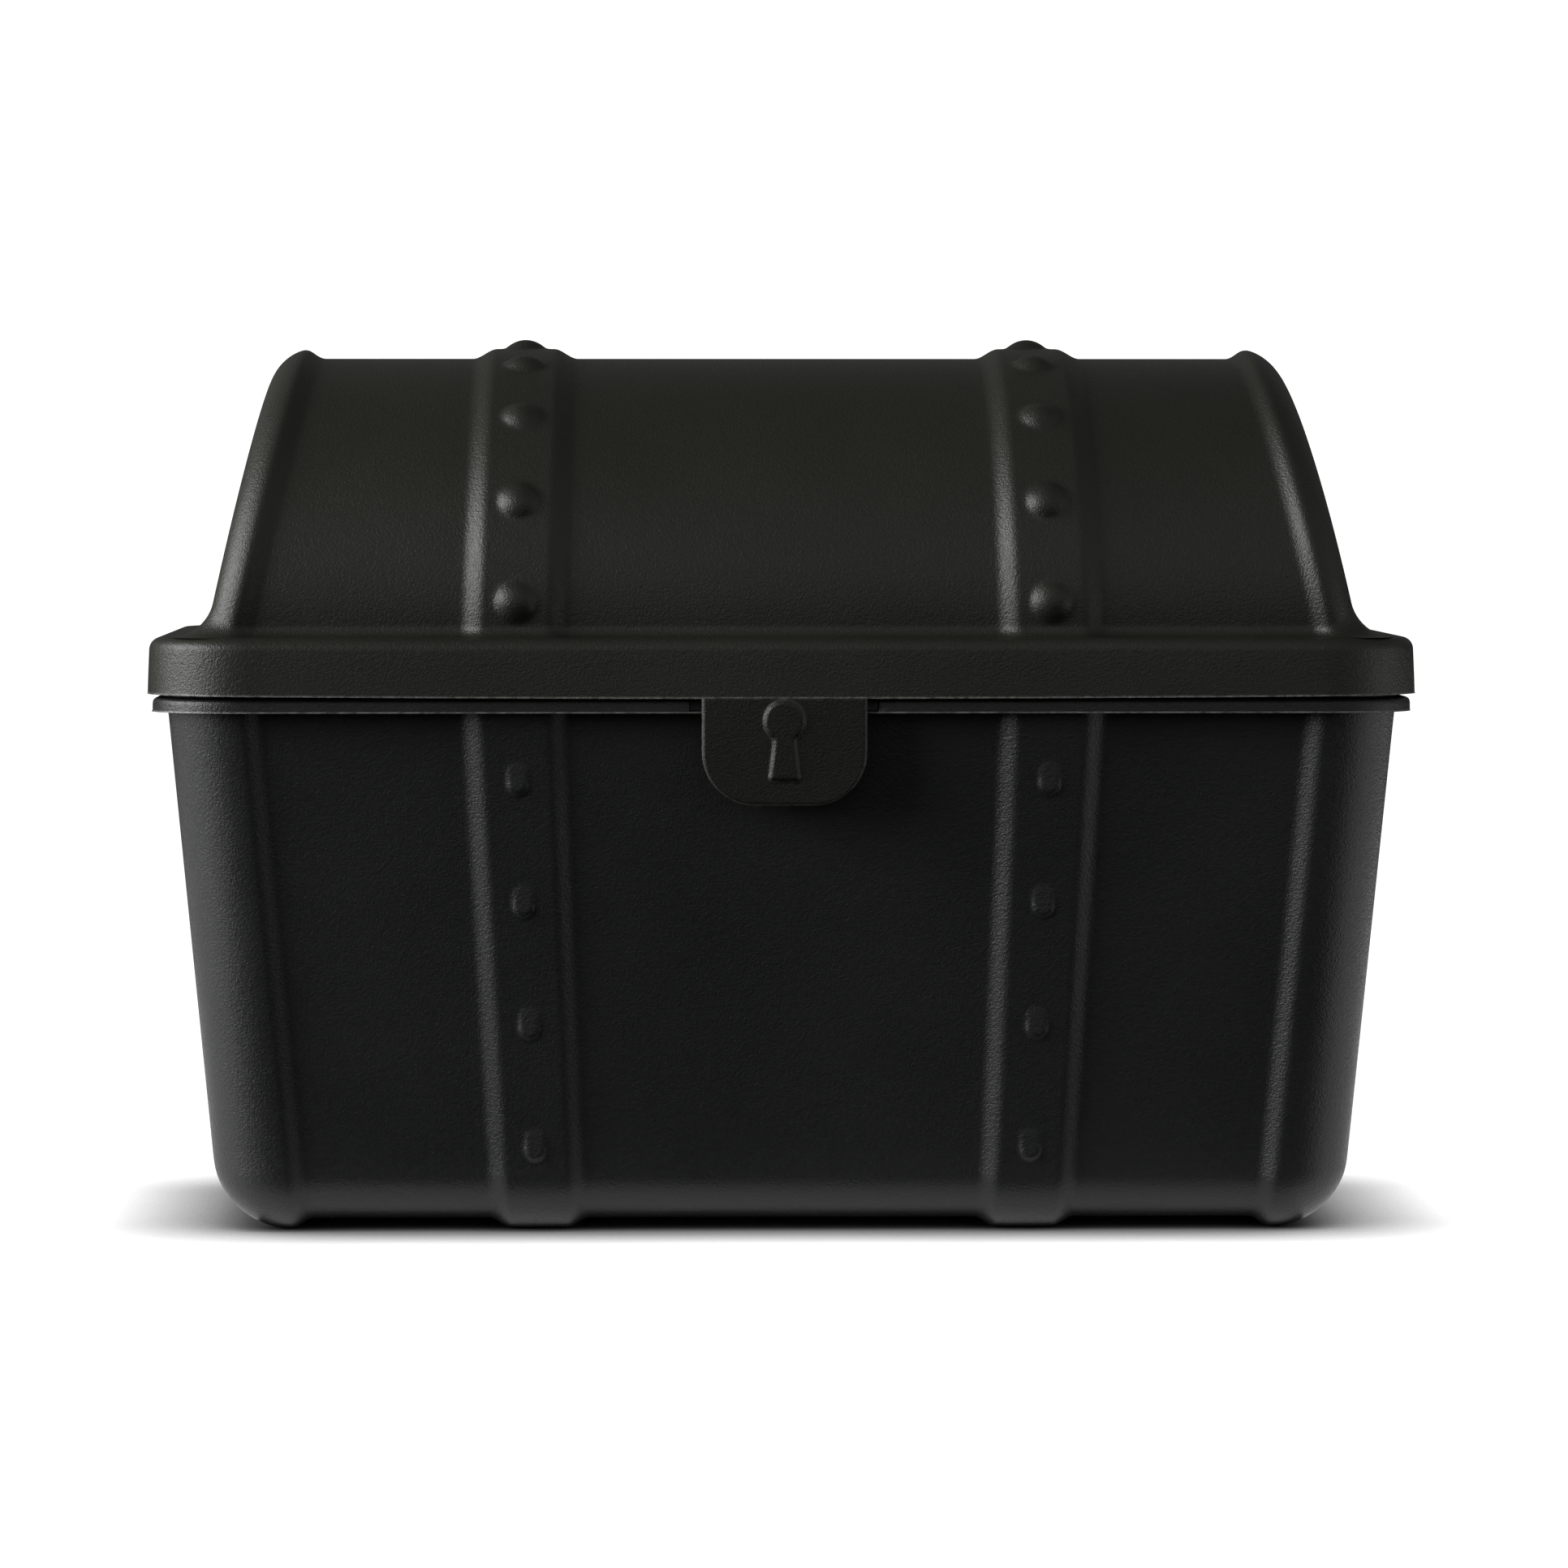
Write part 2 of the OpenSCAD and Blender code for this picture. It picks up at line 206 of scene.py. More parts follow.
class Stations:
    """Cuts through a shell, from the middle of its left end to the middle of its right.

    run and depth are shares along the straight part of the length and of the
    depth, nx and ny are the way the wall faces, and sunk is 0 on a strap or band
    and 1 on a panel. A cut falls on each distance in cut_at.
    """

    def __init__(self, half_w, half_d, r, cut_at=(), overlap=0):
        run_length = half_w - r
        depth_length = half_d - r
        inner_toe = STRAP_X - STRAP_FLAT / 2 - SHOULDER
        inner_top = inner_toe + SHOULDER
        outer_top = inner_top + STRAP_FLAT
        outer_toe = outer_top + SHOULDER
        band_toe = run_length - SHOULDER + overlap
        x = [0.0]
        for stop in cut_at:
            x += steps(x[-1], stop, FLAT_STEP)[1:] + [stop]
        x += steps(x[-1], inner_toe, FLAT_STEP)[1:]
        for start, end in ((inner_toe, inner_top), (inner_top, outer_top), (outer_top, outer_toe)):
            x += steps(start, end, SHOULDER_STEP)
        x += steps(outer_toe, band_toe, FLAT_STEP)
        x += steps(band_toe, run_length, SHOULDER_STEP) + [run_length]
        x = np.array(x)
        raised = s_curve((x - inner_toe) / SHOULDER) * s_curve((outer_toe - x) / SHOULDER)
        raised = np.maximum(raised, s_curve((x - band_toe) / SHOULDER))
        cuts = [(v / run_length, 1, 0, 1, 1 - up) for v, up in zip(x, raised)]
        for turn in np.linspace(0, np.pi / 2, 19)[1:]:
            up = s_curve((run_length + r * math.sin(turn) - band_toe) / SHOULDER)
            cuts.append((1, 1, math.sin(turn), math.cos(turn), 1 - up))
        # The last cut stops short of the middle of the end, so that the section keeps a width.
        band_edge = END_BAND - r
        panel_edge = band_edge + SHOULDER
        last = depth_length - END_STEP
        depths = steps(band_edge, panel_edge, SHOULDER_STEP)
        depths += steps(panel_edge, last, END_STEP) + [last]
        for v in depths:
            cuts.append((1, 1 - v / depth_length, 1, 0, s_curve((v - band_edge) / SHOULDER)))
        half = np.array(cuts)
        side = np.concatenate([-np.ones(len(half) - 1), [1], np.ones(len(half) - 1)])
        full = np.concatenate([half[:0:-1], half])
        self.side = side
        self.run, self.depth, self.nx, self.ny, self.sunk = full.T
        self.count = len(full)

    def plan(self, half_w, half_d, r, out):
        """X and Y of each cut's foot on a rounded rectangle, moved outwards by out."""
        x = self.side * (self.run * (half_w - r) + (r + out) * self.nx)
        y = self.depth * (half_d - r) + (r + out) * self.ny
        return x, y


def mark_painted_highlight(mesh, share):
    """Stores where the surface is painted pale, a painted highlight: along the thin flash of the
    parting line, and round the tab's edges.
    """
    mask = mesh.attributes.new("flash", "FLOAT", "POINT")
    mask.data.foreach_set("value", np.ascontiguousarray(share, dtype=np.float32))


def shell_mesh(name, front, back, flash_highlight_rows):
    """A closed mesh from two sets of rows that share their first and last row."""
    rows, count = front.shape[:2]
    ring = np.concatenate([front, back[-2:0:-1]])
    length = len(ring)
    points = ring.transpose(1, 0, 2).reshape(-1, 3)
    i = np.arange(count - 1)[:, None] * length
    k = np.arange(length)[None, :]
    n = (k + 1) % length
    sides = np.stack([i + k, i + n, i + length + n, i + length + k], -1).reshape(-1, 4)
    k = np.arange(1, rows - 2)
    strip = np.stack([k, (length - k) % length, length - k - 1, k + 1], -1)
    ends = np.array([[0, length - 1, 1], [rows - 2, rows, rows - 1]])
    last = (count - 1) * length
    faces = [tuple(f) for f in sides]
    faces += [tuple(f) for f in strip]
    faces += [tuple(f) for f in ends]
    faces += [tuple(f[::-1]) for f in strip + last]
    faces += [tuple(f[::-1]) for f in ends + last]
    mesh = new_mesh(name, points, faces)
    # The flash rows are painted pale: a painted highlight along the flash.
    on_flash_highlight = np.zeros(length)
    for row in flash_highlight_rows:
        on_flash_highlight[row] = 1
        on_flash_highlight[-row] = 1
    mark_painted_highlight(mesh, np.tile(on_flash_highlight, count))
    return mesh


def turn_outwards(mesh):
    """Flips the faces of a closed mesh if they look inwards."""
    mesh.calc_loop_triangles()
    count = len(mesh.vertices)
    points = np.empty(count * 3)
    mesh.vertices.foreach_get("co", points)
    points = points.reshape(-1, 3)
    corners = np.empty(len(mesh.loop_triangles) * 3, dtype=np.int32)
    mesh.loop_triangles.foreach_get("vertices", corners)
    a, b, c = points[corners.reshape(-1, 3)].transpose(1, 0, 2)
    if np.einsum("ij,ij->i", a, np.cross(b, c)).sum() < 0:
        mesh.flip_normals()


def add_edge_mask(mesh, full_bend):
    """Stores how convex each vertex is, for the wear along edges.

    It is 0 on a flat and in a hollow, and 1 on an edge whose mean bend reaches full_bend.
    """
    count = len(mesh.vertices)
    points = np.empty(count * 3)
    normals = np.empty(count * 3)
    mesh.vertices.foreach_get("co", points)
    mesh.vertex_normals.foreach_get("vector", normals)
    points = points.reshape(-1, 3)
    normals = normals.reshape(-1, 3)
    ends = np.empty(len(mesh.edges) * 2, dtype=np.int32)
    mesh.edges.foreach_get("vertices", ends)
    a, b = ends.reshape(-1, 2).T
    along = points[b] - points[a]
    length = np.maximum((along ** 2).sum(1), 1e-12)
    bend = np.zeros(count)
    share = np.zeros(count)
    np.add.at(bend, a, -(along * normals[a]).sum(1) / length)
    np.add.at(bend, b, (along * normals[b]).sum(1) / length)
    np.add.at(share, a, 1)
    np.add.at(share, b, 1)
    bend = np.clip(bend / np.maximum(share, 1) / full_bend, 0, 1)
    mask = mesh.attributes.new("edge", "FLOAT", "POINT")
    mask.data.foreach_set("value", bend.astype(np.float32))


def finish_mesh(name, mesh, body, material):
    """Makes a piece of a mesh, and puts it on a body."""
    turn_outwards(mesh)
    mesh.shade_smooth()
    mesh.set_sharp_from_angle(angle=math.radians(38))
    add_edge_mask(mesh, full_bend=900)
    mesh.materials.append(material)
    piece = bpy.data.objects.new(name, mesh)
    bpy.context.scene.collection.objects.link(piece)
    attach(piece, body)
    return piece


# -------------------------------------------------------------------- the tub

# A row is one line along a shell, with a point at each cut. z is a height, and out
# is how far the row stands outside the surface of the straps and bands.

def tub_half_d(z):
    return TUB_D / 2 - (FLANGE_Z - z) * DRAFT


def tub_run(share, z):
    return share * (TUB_W / 2 - (FLANGE_Z - z) * DRAFT - CORNER_R)


def tub_at(s, z, out):
    x = s.side * (tub_run(s.run, z) + (CORNER_R + out) * s.nx)
    y = s.depth * (tub_half_d(z) - CORNER_R) + (CORNER_R + out) * s.ny
    return np.stack([x, y, z + np.zeros(s.count)], -1)


def flange_at(s, z, inset):
    x, y = s.plan(FLANGE_W / 2, FLANGE_D / 2, FLANGE_R, -inset)
    return np.stack([x, y, z + np.zeros(s.count)], -1)


def tub_low(s, out):
    """How far the section at each station is drawn in, and its fillet radius."""
    drawn_in = tub_half_d(0) - tub_at(s, 0, out)[:, 1]
    return drawn_in, np.maximum(BOTTOM_R - drawn_in, 2)


def tub_bottom_row(s, out, share):
    """A row under the tub. At the ends, cuts drawn in past the rounding lie on the end wall."""
    drawn_in, r = tub_low(s, out)
    dip = np.where(drawn_in > BOTTOM_R, 1 - share, 0)
    row = tub_at(s, drawn_in - dip, out)
    row[:, 1] = share * (tub_at(s, drawn_in + r, out)[:, 1] - r)
    return row


def tub_fillet_row(s, out, angle):
    drawn_in, r = tub_low(s, out)
    z = drawn_in + r - r * math.sin(angle)
    row = tub_at(s, z, out)
    row[:, 1] = tub_at(s, drawn_in + r, out)[:, 1] - r + r * math.cos(angle)
    return row


def tub_wall_row(s, out, top, share):
    drawn_in, r = tub_low(s, out)
    low = drawn_in + r
    return tub_at(s, low + share * (top - low), out)


def tub_rivet_bulge(row):
    """How far the rivet bumps stand out of the wall at each point of a row."""
    bulge = np.zeros(len(row))
    half = TUB_RIVET_W / 2
    for z in TUB_RIVET_Z:
        u = np.abs(np.abs(row[:, 0]) - tub_run(STRAP_X / (TUB_W / 2 - CORNER_R), z))
        v = row[:, 2] - z
        past_end = np.maximum(np.abs(v) - TUB_RIVET_L / 2 + half, 0)
        inside = half - np.hypot(u, past_end)
        # A bump runs out into the drafted wall at its upper end.
        proud = np.clip(TUB_RIVET_L / 2 - v, 0, TUB_RIVET_L) * DRAFT * TUB_RIVET_LEAN
        bulge = np.maximum(bulge, proud * smoothstep((inside + 0.3) / 1.5))
    return bulge


def tub_rows(s, in_front):
    """The tub's rows from under its middle, up the outside, over the rim and down the inside."""
    skin = -RELIEF * s.sunk
    inside = skin - WALL
    rows = [tub_bottom_row(s, skin, share) for share in (0, 0.35, 0.7, 0.92)]
    rows += [tub_fillet_row(s, skin, a) for a in np.linspace(np.pi / 2, 0, 17)]
    rivets = [z - 0.5 for z in TUB_RIVET_Z]
    heights = close_steps(
        BOTTOM_R, FLANGE_Z, wide=3.0, fine=0.5, centres=rivets, reach=TUB_RIVET_L / 2 + 0.8,
    )
    for z in heights[1:]:
        row = tub_wall_row(s, skin, FLANGE_Z, (z - BOTTOM_R) / (FLANGE_Z - BOTTOM_R))
        row[:, 1] += tub_rivet_bulge(row) * (s.ny > 0.9)
        rows.append(row)
    # The flange, as heights and insets, with the flash of the parting line along its
    # lower edge. In the notch behind the tab it is cut back above that edge.
    along = np.clip(flange_at(s, 0, 0)[:, 0] + LID_W / 2, 0, LID_W)
    flash = FLASH * ragged(along, 2.2, 5)
    edge = [
        (FLANGE_Z - 0.02, 0.45), (FLANGE_Z, 0.2 - flash), (FLANGE_Z + 0.14, 0.2 - flash),
        (FLANGE_Z + 0.3, 0.22), (FLANGE_Z + 0.42, 0.23), (124.2, 0.24), (124.9, 0.34),
        (125.35, 0.62), (125.6, 1.0), (FLANGE_TOP, 1.6), (FLANGE_TOP, LIP_OUT - 0.3),
    ]
    notch = [
        (FLANGE_Z - 0.02, 0.45), (FLANGE_Z, 0.2 - flash), (FLANGE_Z + 0.14, 0.2 - flash),
        (FLANGE_Z + 0.3, 0.3), (FLANGE_Z + 0.42, 0.4), (FLANGE_Z + 0.5, 0.55), (FLANGE_Z + 0.55, 1.0),
        (FLANGE_Z + 0.6, 1.45), (FLANGE_Z + 0.8, 1.6), (125.3, 1.65), (FLANGE_TOP, LIP_OUT - 0.02),
    ]
    # These three rows of the flash are painted pale, a painted highlight.
    flash_highlight_rows = [len(rows) + place for place in (1, 2, 3)]
    for (z, inset), (notch_z, notch_inset) in zip(edge, notch):
        row = flange_at(s, z, inset)
        if in_front:
            cut = flange_at(s, notch_z, notch_inset)
            within = (np.abs(row[:, 0]) < NOTCH_HALF) & (s.ny > 0.9)
            row = np.where(within[:, None], cut, row)
        rows.append(row)
    # The lip over the flange: up its outside, over its top and down its inside.
    lip = [
        (FLANGE_TOP + 0.3, LIP_OUT), (131, LIP_OUT + 0.05), (LIP_Z - 0.5, LIP_OUT + 0.1),
        (LIP_Z - 0.12, LIP_OUT + 0.3), (LIP_Z, LIP_OUT + 0.7), (LIP_Z, LIP_IN - 0.5),
        (LIP_Z - 0.3, LIP_IN - 0.05), (LIP_Z - 1, LIP_IN), (130, LIP_IN), (FLANGE_Z + 0.6, LIP_IN),
    ]
    rows += [flange_at(s, z, inset) for z, inset in lip]
    rows += [tub_wall_row(s, inside, FLANGE_Z - 1, share) for share in np.linspace(1, 0, 14)]
    rows += [tub_fillet_row(s, inside, a) for a in np.linspace(0, np.pi / 2, 9)[1:]]
    rows += [tub_bottom_row(s, inside, share) for share in (0.7, 0.35, 0)]
    rows = np.array(rows)
    if in_front:
        rows[..., 1] *= -1
    return rows, flash_highlight_rows


# -------------------------------------------------------------------- the lid

def strap_share(z):
    return 1 - (z - LEDGE_Z) * LID_STRAP_LEAN / STRAP_X


def dome_x(s, z, out):
    """The straps lean a little, the end bands lean with the ends, the panels stretch to fit."""
    strap_toe = STRAP_X + STRAP_FLAT / 2 + SHOULDER
    band_toe = DOME_W / 2 - DOME_END_R - SHOULDER + BAND_OVERLAP
    drawn_in = (z - LEDGE_Z) * DOME_LEAN
    start = strap_toe * strap_share(z)
    stretch = (band_toe - drawn_in - start) / (band_toe - strap_toe)
    x = s.run * (DOME_W / 2 - DOME_END_R) + (DOME_END_R + out) * s.nx
    past_strap = np.where(x < band_toe, start + (x - strap_toe) * stretch, x - drawn_in)
    return s.side * np.where(x < strap_toe, x * strap_share(z), past_strap)


def dome_half_d(s, out):
    return s.depth * (DOME_D / 2 - DOME_END_R) + (DOME_END_R + out) * s.ny


def arch_rise(s, out):
    """Height of the arch at each cut. It gets lower where the cuts are drawn in at the ends."""
    drawn_in = DOME_D / 2 - dome_half_d(s, out)
    close_up = (DOME_D / 2 - ARCH_H + DOME_END_H) * (2 * drawn_in / DOME_D) ** 2
    return ARCH_H - drawn_in + close_up


def arch_y(s, z, out):
    up = np.clip((z - ARCH_Z) / arch_rise(s, out), 0, 1)
    return dome_half_d(s, out) * np.sqrt(1 - up ** 2)


def dome_row(s, out, share):
    rise = arch_rise(s, out)
    low = np.arcsin((LEDGE_Z + FOOT_H - ARCH_Z) / rise)
    angle = low + (np.pi / 2 - low) * share
    z = ARCH_Z + rise * np.sin(angle)
    y = dome_half_d(s, out) * np.cos(angle) if share < 1 else np.zeros(s.count)
    return np.stack([dome_x(s, z, out), y, z], -1)


def foot_row(s, out, t, drop=0.0):
    """The foot of the dome: down the wall while t is under a half, then round its fillet."""
    r = FOOT_R_FRONT + (FOOT_R_END - FOOT_R_FRONT) * s.nx ** 2
    if t < 0.5:
        h = FOOT_H - (FOOT_H - r) * 2 * t
        flare = 0.0
    else:
        turn = (t - 0.5) * np.pi
        h = r * (1 - math.sin(turn))
        flare = r * (1 - math.cos(turn))
    z = LEDGE_Z + h - drop
    return np.stack([dome_x(s, z, out + flare), arch_y(s, z, out + flare), z], -1)


def skirt_at(s, z, inset):
    x, y = s.plan(LID_W / 2, LID_D / 2, SKIRT_R, -inset)
    return np.stack([x, y, z + np.zeros(s.count)], -1)


def lid_rivet_bulge(row):
    """The rivet heads, as a push along the arch's normal at each point of a row.

    Each head is a cap of a ball, blended into the strap round it.
    """
    ball = ((LID_RIVET_D / 2) ** 2 + LID_RIVET_H ** 2) / (2 * LID_RIVET_H)
    half_d = DOME_D / 2
    blend = 0.4
    reach = 8
    x, y, z = row.T
    push = np.zeros(len(row))
    for degrees in LID_RIVET_ANGLES:
        angle = math.radians(degrees)
        cy = half_d * math.cos(angle)
        cz = ARCH_Z + ARCH_H * math.sin(angle)
        cx = STRAP_X * strap_share(cz)
        away = np.sqrt((np.abs(x) - cx) ** 2 + (y - cy) ** 2 + (z - cz) ** 2)
        height = np.sqrt(np.maximum(ball ** 2 - np.minimum(away, ball - 0.5) ** 2, 0))
        cap = height - (ball - LID_RIVET_H)
        cap = np.where(away < LID_RIVET_D / 2, cap, -(away - LID_RIVET_D / 2) * 1.1)
        head = 0.5 * (cap + np.sqrt(cap ** 2 + blend)) - 0.06
        push = np.maximum(push, np.where(away < reach, head, 0))
    ny = y / half_d ** 2
    nz = np.maximum(z - ARCH_Z, 0) / ARCH_H ** 2
    size = np.maximum(np.hypot(ny, nz), 1e-9)
    return np.stack([np.zeros(len(row)), push * ny / size, push * nz / size], -1)


def lid_rows(s, in_front):
    """The lid's rows from its crown, down the outside, round the skirt and up the inside."""
    skin = -RELIEF * s.sunk
    inside = skin - WALL
    low = math.asin((LEDGE_Z + FOOT_H - ARCH_Z) / ARCH_H)
    places = close_steps(
        90, math.degrees(low), wide=1.6, fine=0.42, centres=LID_RIVET_ANGLES, reach=5.2,
    )
    rows = []
    for degrees in places:
        share = (math.radians(degrees) - low) / (math.pi / 2 - low)
        rows.append(dome_row(s, skin, share if degrees < 90 else 1))
    rows += [foot_row(s, skin, t) for t in np.linspace(0, 0.5, 15)[1:]]
    rows += [foot_row(s, skin, t) for t in np.linspace(0.5, 1, 13)[1:]]
    for row in rows:
        bulge = lid_rivet_bulge(row)
        bulge[:, 2] = np.where(row[:, 2] < LEDGE_Z + 1, 0, bulge[:, 2])
        row += bulge * ((s.ny > 0.9) & (row[:, 2] > LEDGE_Z + 0.5))[:, None]
    # The ledge, and the rounding along the skirt's top edge.
    foot = rows[-1]
    r = SKIRT_EDGE_R
    top_inset = 0.6
    edge_start = skirt_at(s, LEDGE_Z, top_inset + r)
    rows += [foot + (edge_start - foot) * share for share in (0.4, 0.8)]
    for angle in np.linspace(np.pi / 2, 0, 10):
        z = LEDGE_Z - r + r * math.sin(angle)
        rows.append(skirt_at(s, z, top_inset + r - r * math.cos(angle)))
    # The skirt's face and the flash along its lower edge. Its front sags a little.
    along = np.clip(skirt_at(s, 0, 0)[:, 0] + LID_W / 2, 0, LID_W)
    flash = FLASH * ragged(along, 1.8, 8)
    front_share = 1 if in_front else 0
    sag = SKIRT_SAG * front_share * np.clip(1 - (2 * along / LID_W - 1) ** 2, 0, 1) * (s.ny > 0)
    face = [(133.5, 0.45), (130, 0.32), (SKIRT_Z + 0.55, 0.22), (SKIRT_Z + 0.2, 0.2)]
    rim = [
        (SKIRT_Z + 0.1, 0.2 - flash), (SKIRT_Z, 0.22 - flash), (SKIRT_Z, 0.5),
        (SKIRT_Z, SKIRT_T - 0.3),
    ]
    back = [(SKIRT_Z + 0.3, SKIRT_T), (130, SKIRT_T + 0.15), (134, SKIRT_T + 0.3)]
    # These three rows of the flash are painted pale, a painted highlight.
    flash_highlight_rows = [len(rows) + place for place in (3, 4, 5)]
    for z, inset in face + rim + back:
        share = np.clip((LEDGE_Z - r - z) / (LEDGE_Z - r - SKIRT_Z), 0, 1)
        rows.append(skirt_at(s, z - sag * share, inset))
    rows.append(skirt_at(s, LEDGE_Z - WALL, SKIRT_T + 0.4))
    rows += [foot_row(s, inside, t, drop=WALL * (t - 0.5) * 2) for t in np.linspace(1, 0.5, 5)]
    rows += [foot_row(s, inside, t) for t in (0.3, 0)]
    rows += [dome_row(s, inside, share) for share in np.linspace(0, 1, 34)[1:]]
    rows = np.array(rows)
    if in_front:
        rows[..., 1] *= -1
    return rows, flash_highlight_rows


# ------------------------------------------------------------ materials

ROUGHNESS = 0.43
# The pale colour painted along the flash and round the tab: a painted highlight.
PAINTED_HIGHLIGHT_COLOUR = (0.1, 0.1, 0.095)


def plastic(name, colour, warm_colour):
    """Black moulded plastic: fine stipple, faint clouding, burnished edges, pale flecks painted in as
    sparkle, and a pale painted highlight along the flash.
    """
    material = bpy.data.materials.new(name)
    material.use_nodes = True
    nodes = material.node_tree.nodes
    links = material.node_tree.links
    shader = nodes["Principled BSDF"]
    shader.inputs["Specular IOR Level"].default_value = 0.3
    place = nodes.new("ShaderNodeTexCoord").outputs["Object"]

    def noise(scale, detail, rough=0.55):
        node = nodes.new("ShaderNodeTexNoise")
        node.inputs["Scale"].default_value = scale
        node.inputs["Detail"].default_value = detail
        node.inputs["Roughness"].default_value = rough
        links.new(place, node.inputs["Vector"])
        return node.outputs["Fac"]

    def ranged(value, low, high, to_low, to_high):
        node = nodes.new("ShaderNodeMapRange")
        node.inputs["From Min"].default_value = low
        node.inputs["From Max"].default_value = high
        node.inputs["To Min"].default_value = to_low
        node.inputs["To Max"].default_value = to_high
        links.new(value, node.inputs["Value"])
        return node.outputs["Result"]

    def mixed(factor, a, b):
        node = nodes.new("ShaderNodeMix")
        node.data_type = "RGBA"
        links.new(factor, node.inputs["Factor"])
        for socket, value in ((node.inputs[6], a), (node.inputs[7], b)):
            if isinstance(value, tuple):
                socket.default_value = (*value, 1)
            else:
                links.new(value, socket)
        return node.outputs[2]

    def maths(operation, a, b):
        node = nodes.new("ShaderNodeMath")
        node.operation = operation
        for socket, value in zip(node.inputs, (a, b)):
            if isinstance(value, (int, float)):
                socket.default_value = value
            else:
                links.new(value, socket)
        return node.outputs[0]

    # Faint clouding with pale flecks, which are painted sparkle of the grain; rubbed paler along the
    # edges; and painted pale in broken stretches where the flash mask is set, a painted highlight along
    # the flash and round the tab.
    edge = nodes.new("ShaderNodeAttribute")
    edge.attribute_name = "edge"
    cloud = noise(16, 3)
    painted_sparkle_noise = noise(2600, 1)
    on_edge = ranged(edge.outputs["Fac"], 0.25, 1.0, 0, 1)
    worn = maths("MULTIPLY", on_edge, ranged(noise(240, 4), 0.42, 0.62, 0.15, 1))
    base = mixed(ranged(cloud, 0.35, 0.65, 0, 1), colour, warm_colour)
    painted_sparkle = mixed(ranged(painted_sparkle_noise, 0.62, 0.72, 0, 0.35), base, tuple(2.2 * c for c in warm_colour))
    pale = tuple(min(1, 3.0 * c + 0.01) for c in colour)
    rubbed = mixed(maths("MULTIPLY", worn, 0.45), painted_sparkle, pale)
    flash = nodes.new("ShaderNodeAttribute")
    flash.attribute_name = "flash"
    broken_flash_highlight = maths("MULTIPLY", flash.outputs["Fac"], ranged(noise(420, 3), 0.38, 0.6, 0.25, 1))
    links.new(mixed(broken_flash_highlight, rubbed, PAINTED_HIGHLIGHT_COLOUR), shader.inputs["Base Color"])

    patch = ranged(cloud, 0.3, 0.7, ROUGHNESS - 0.035, ROUGHNESS + 0.035)
    fine = ranged(noise(900, 2), 0.3, 0.7, -0.04, 0.04)
    rough = maths("SUBTRACT", maths("ADD", patch, fine), maths("MULTIPLY", worn, 0.08))
    links.new(rough, shader.inputs["Roughness"])

    # The moulded stipple, over a slight unevenness of the whole surface.
    stipple = maths("ADD", noise(3000, 1, 0.5), maths("MULTIPLY", noise(1500, 1, 0.5), 1.5))
    bump = nodes.new("ShaderNodeBump")
    bump.inputs["Strength"].default_value = 0.8
    bump.inputs["Distance"].default_value = 0.000085
    links.new(stipple, bump.inputs["Height"])
    swell = nodes.new("ShaderNodeBump")
    swell.inputs["Strength"].default_value = 0.12
    swell.inputs["Distance"].default_value = 0.0008
    links.new(noise(70, 2), swell.inputs["Height"])
    links.new(swell.outputs["Normal"], bump.inputs["Normal"])
    links.new(bump.outputs["Normal"], shader.inputs["Normal"])
    return material


def drawn_steel(name):
    """Bright drawn wire: fine streaks round the pin's length."""
    material = bpy.data.materials.new(name)
    material.use_nodes = True
    nodes = material.node_tree.nodes
    links = material.node_tree.links
    shader = nodes["Principled BSDF"]
    shader.inputs["Metallic"].default_value = 1.0
    place = nodes.new("ShaderNodeTexCoord").outputs["Object"]
    stretch = nodes.new("ShaderNodeMapping")
    stretch.inputs["Scale"].default_value = (60, 2600, 2600)
    links.new(place, stretch.inputs["Vector"])
    streak = nodes.new("ShaderNodeTexNoise")
    streak.inputs["Scale"].default_value = 1
    streak.inputs["Detail"].default_value = 3
    links.new(stretch.outputs["Vector"], streak.inputs["Vector"])
    ramp = nodes.new("ShaderNodeMapRange")
    ramp.inputs["To Min"].default_value = 0.24
    ramp.inputs["To Max"].default_value = 0.46
    links.new(streak.outputs["Fac"], ramp.inputs["Value"])
    links.new(ramp.outputs["Result"], shader.inputs["Roughness"])
    tone = nodes.new("ShaderNodeMix")
    tone.data_type = "RGBA"
    tone.inputs[6].default_value = (0.42, 0.42, 0.43, 1)
    tone.inputs[7].default_value = (0.58, 0.58, 0.58, 1)
    links.new(streak.outputs["Fac"], tone.inputs["Factor"])
    links.new(tone.outputs[2], shader.inputs["Base Color"])
    bump = nodes.new("ShaderNodeBump")
    bump.inputs["Strength"].default_value = 0.15
    bump.inputs["Distance"].default_value = 0.00005
    links.new(streak.outputs["Fac"], bump.inputs["Height"])
    links.new(bump.outputs["Normal"], shader.inputs["Normal"])
    return material


tub_plastic = plastic("tub_plastic", (0.0070, 0.0073, 0.0074), (0.0082, 0.0085, 0.0085))
lid_plastic = plastic("lid_plastic", (0.0082, 0.0081, 0.0056), (0.0098, 0.0096, 0.0068))
# The tab is moulded in the lid's plastic and painted about half as light: painted shade where it
# catches less light.
tab_plastic_painted_shade = plastic("tab_plastic_painted_shade", (0.0038, 0.0037, 0.0028), (0.0046, 0.0045, 0.0034))
pin_steel = drawn_steel("pin_steel")

# ------------------------------------------------------------- the two shells

notch_ends = (NOTCH_HALF - 0.12, NOTCH_HALF + 0.12)
tub_stations = Stations(TUB_W / 2, TUB_D / 2, CORNER_R, cut_at=notch_ends)
tub_front, tub_flash_highlight_rows = tub_rows(tub_stations, True)
tub_back = tub_rows(tub_stations, False)[0]
tub_mesh = shell_mesh("tub_shell", tub_front, tub_back, tub_flash_highlight_rows)
tub = finish_mesh("tub_shell", tub_mesh, "base", tub_plastic)
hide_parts("base_tub")

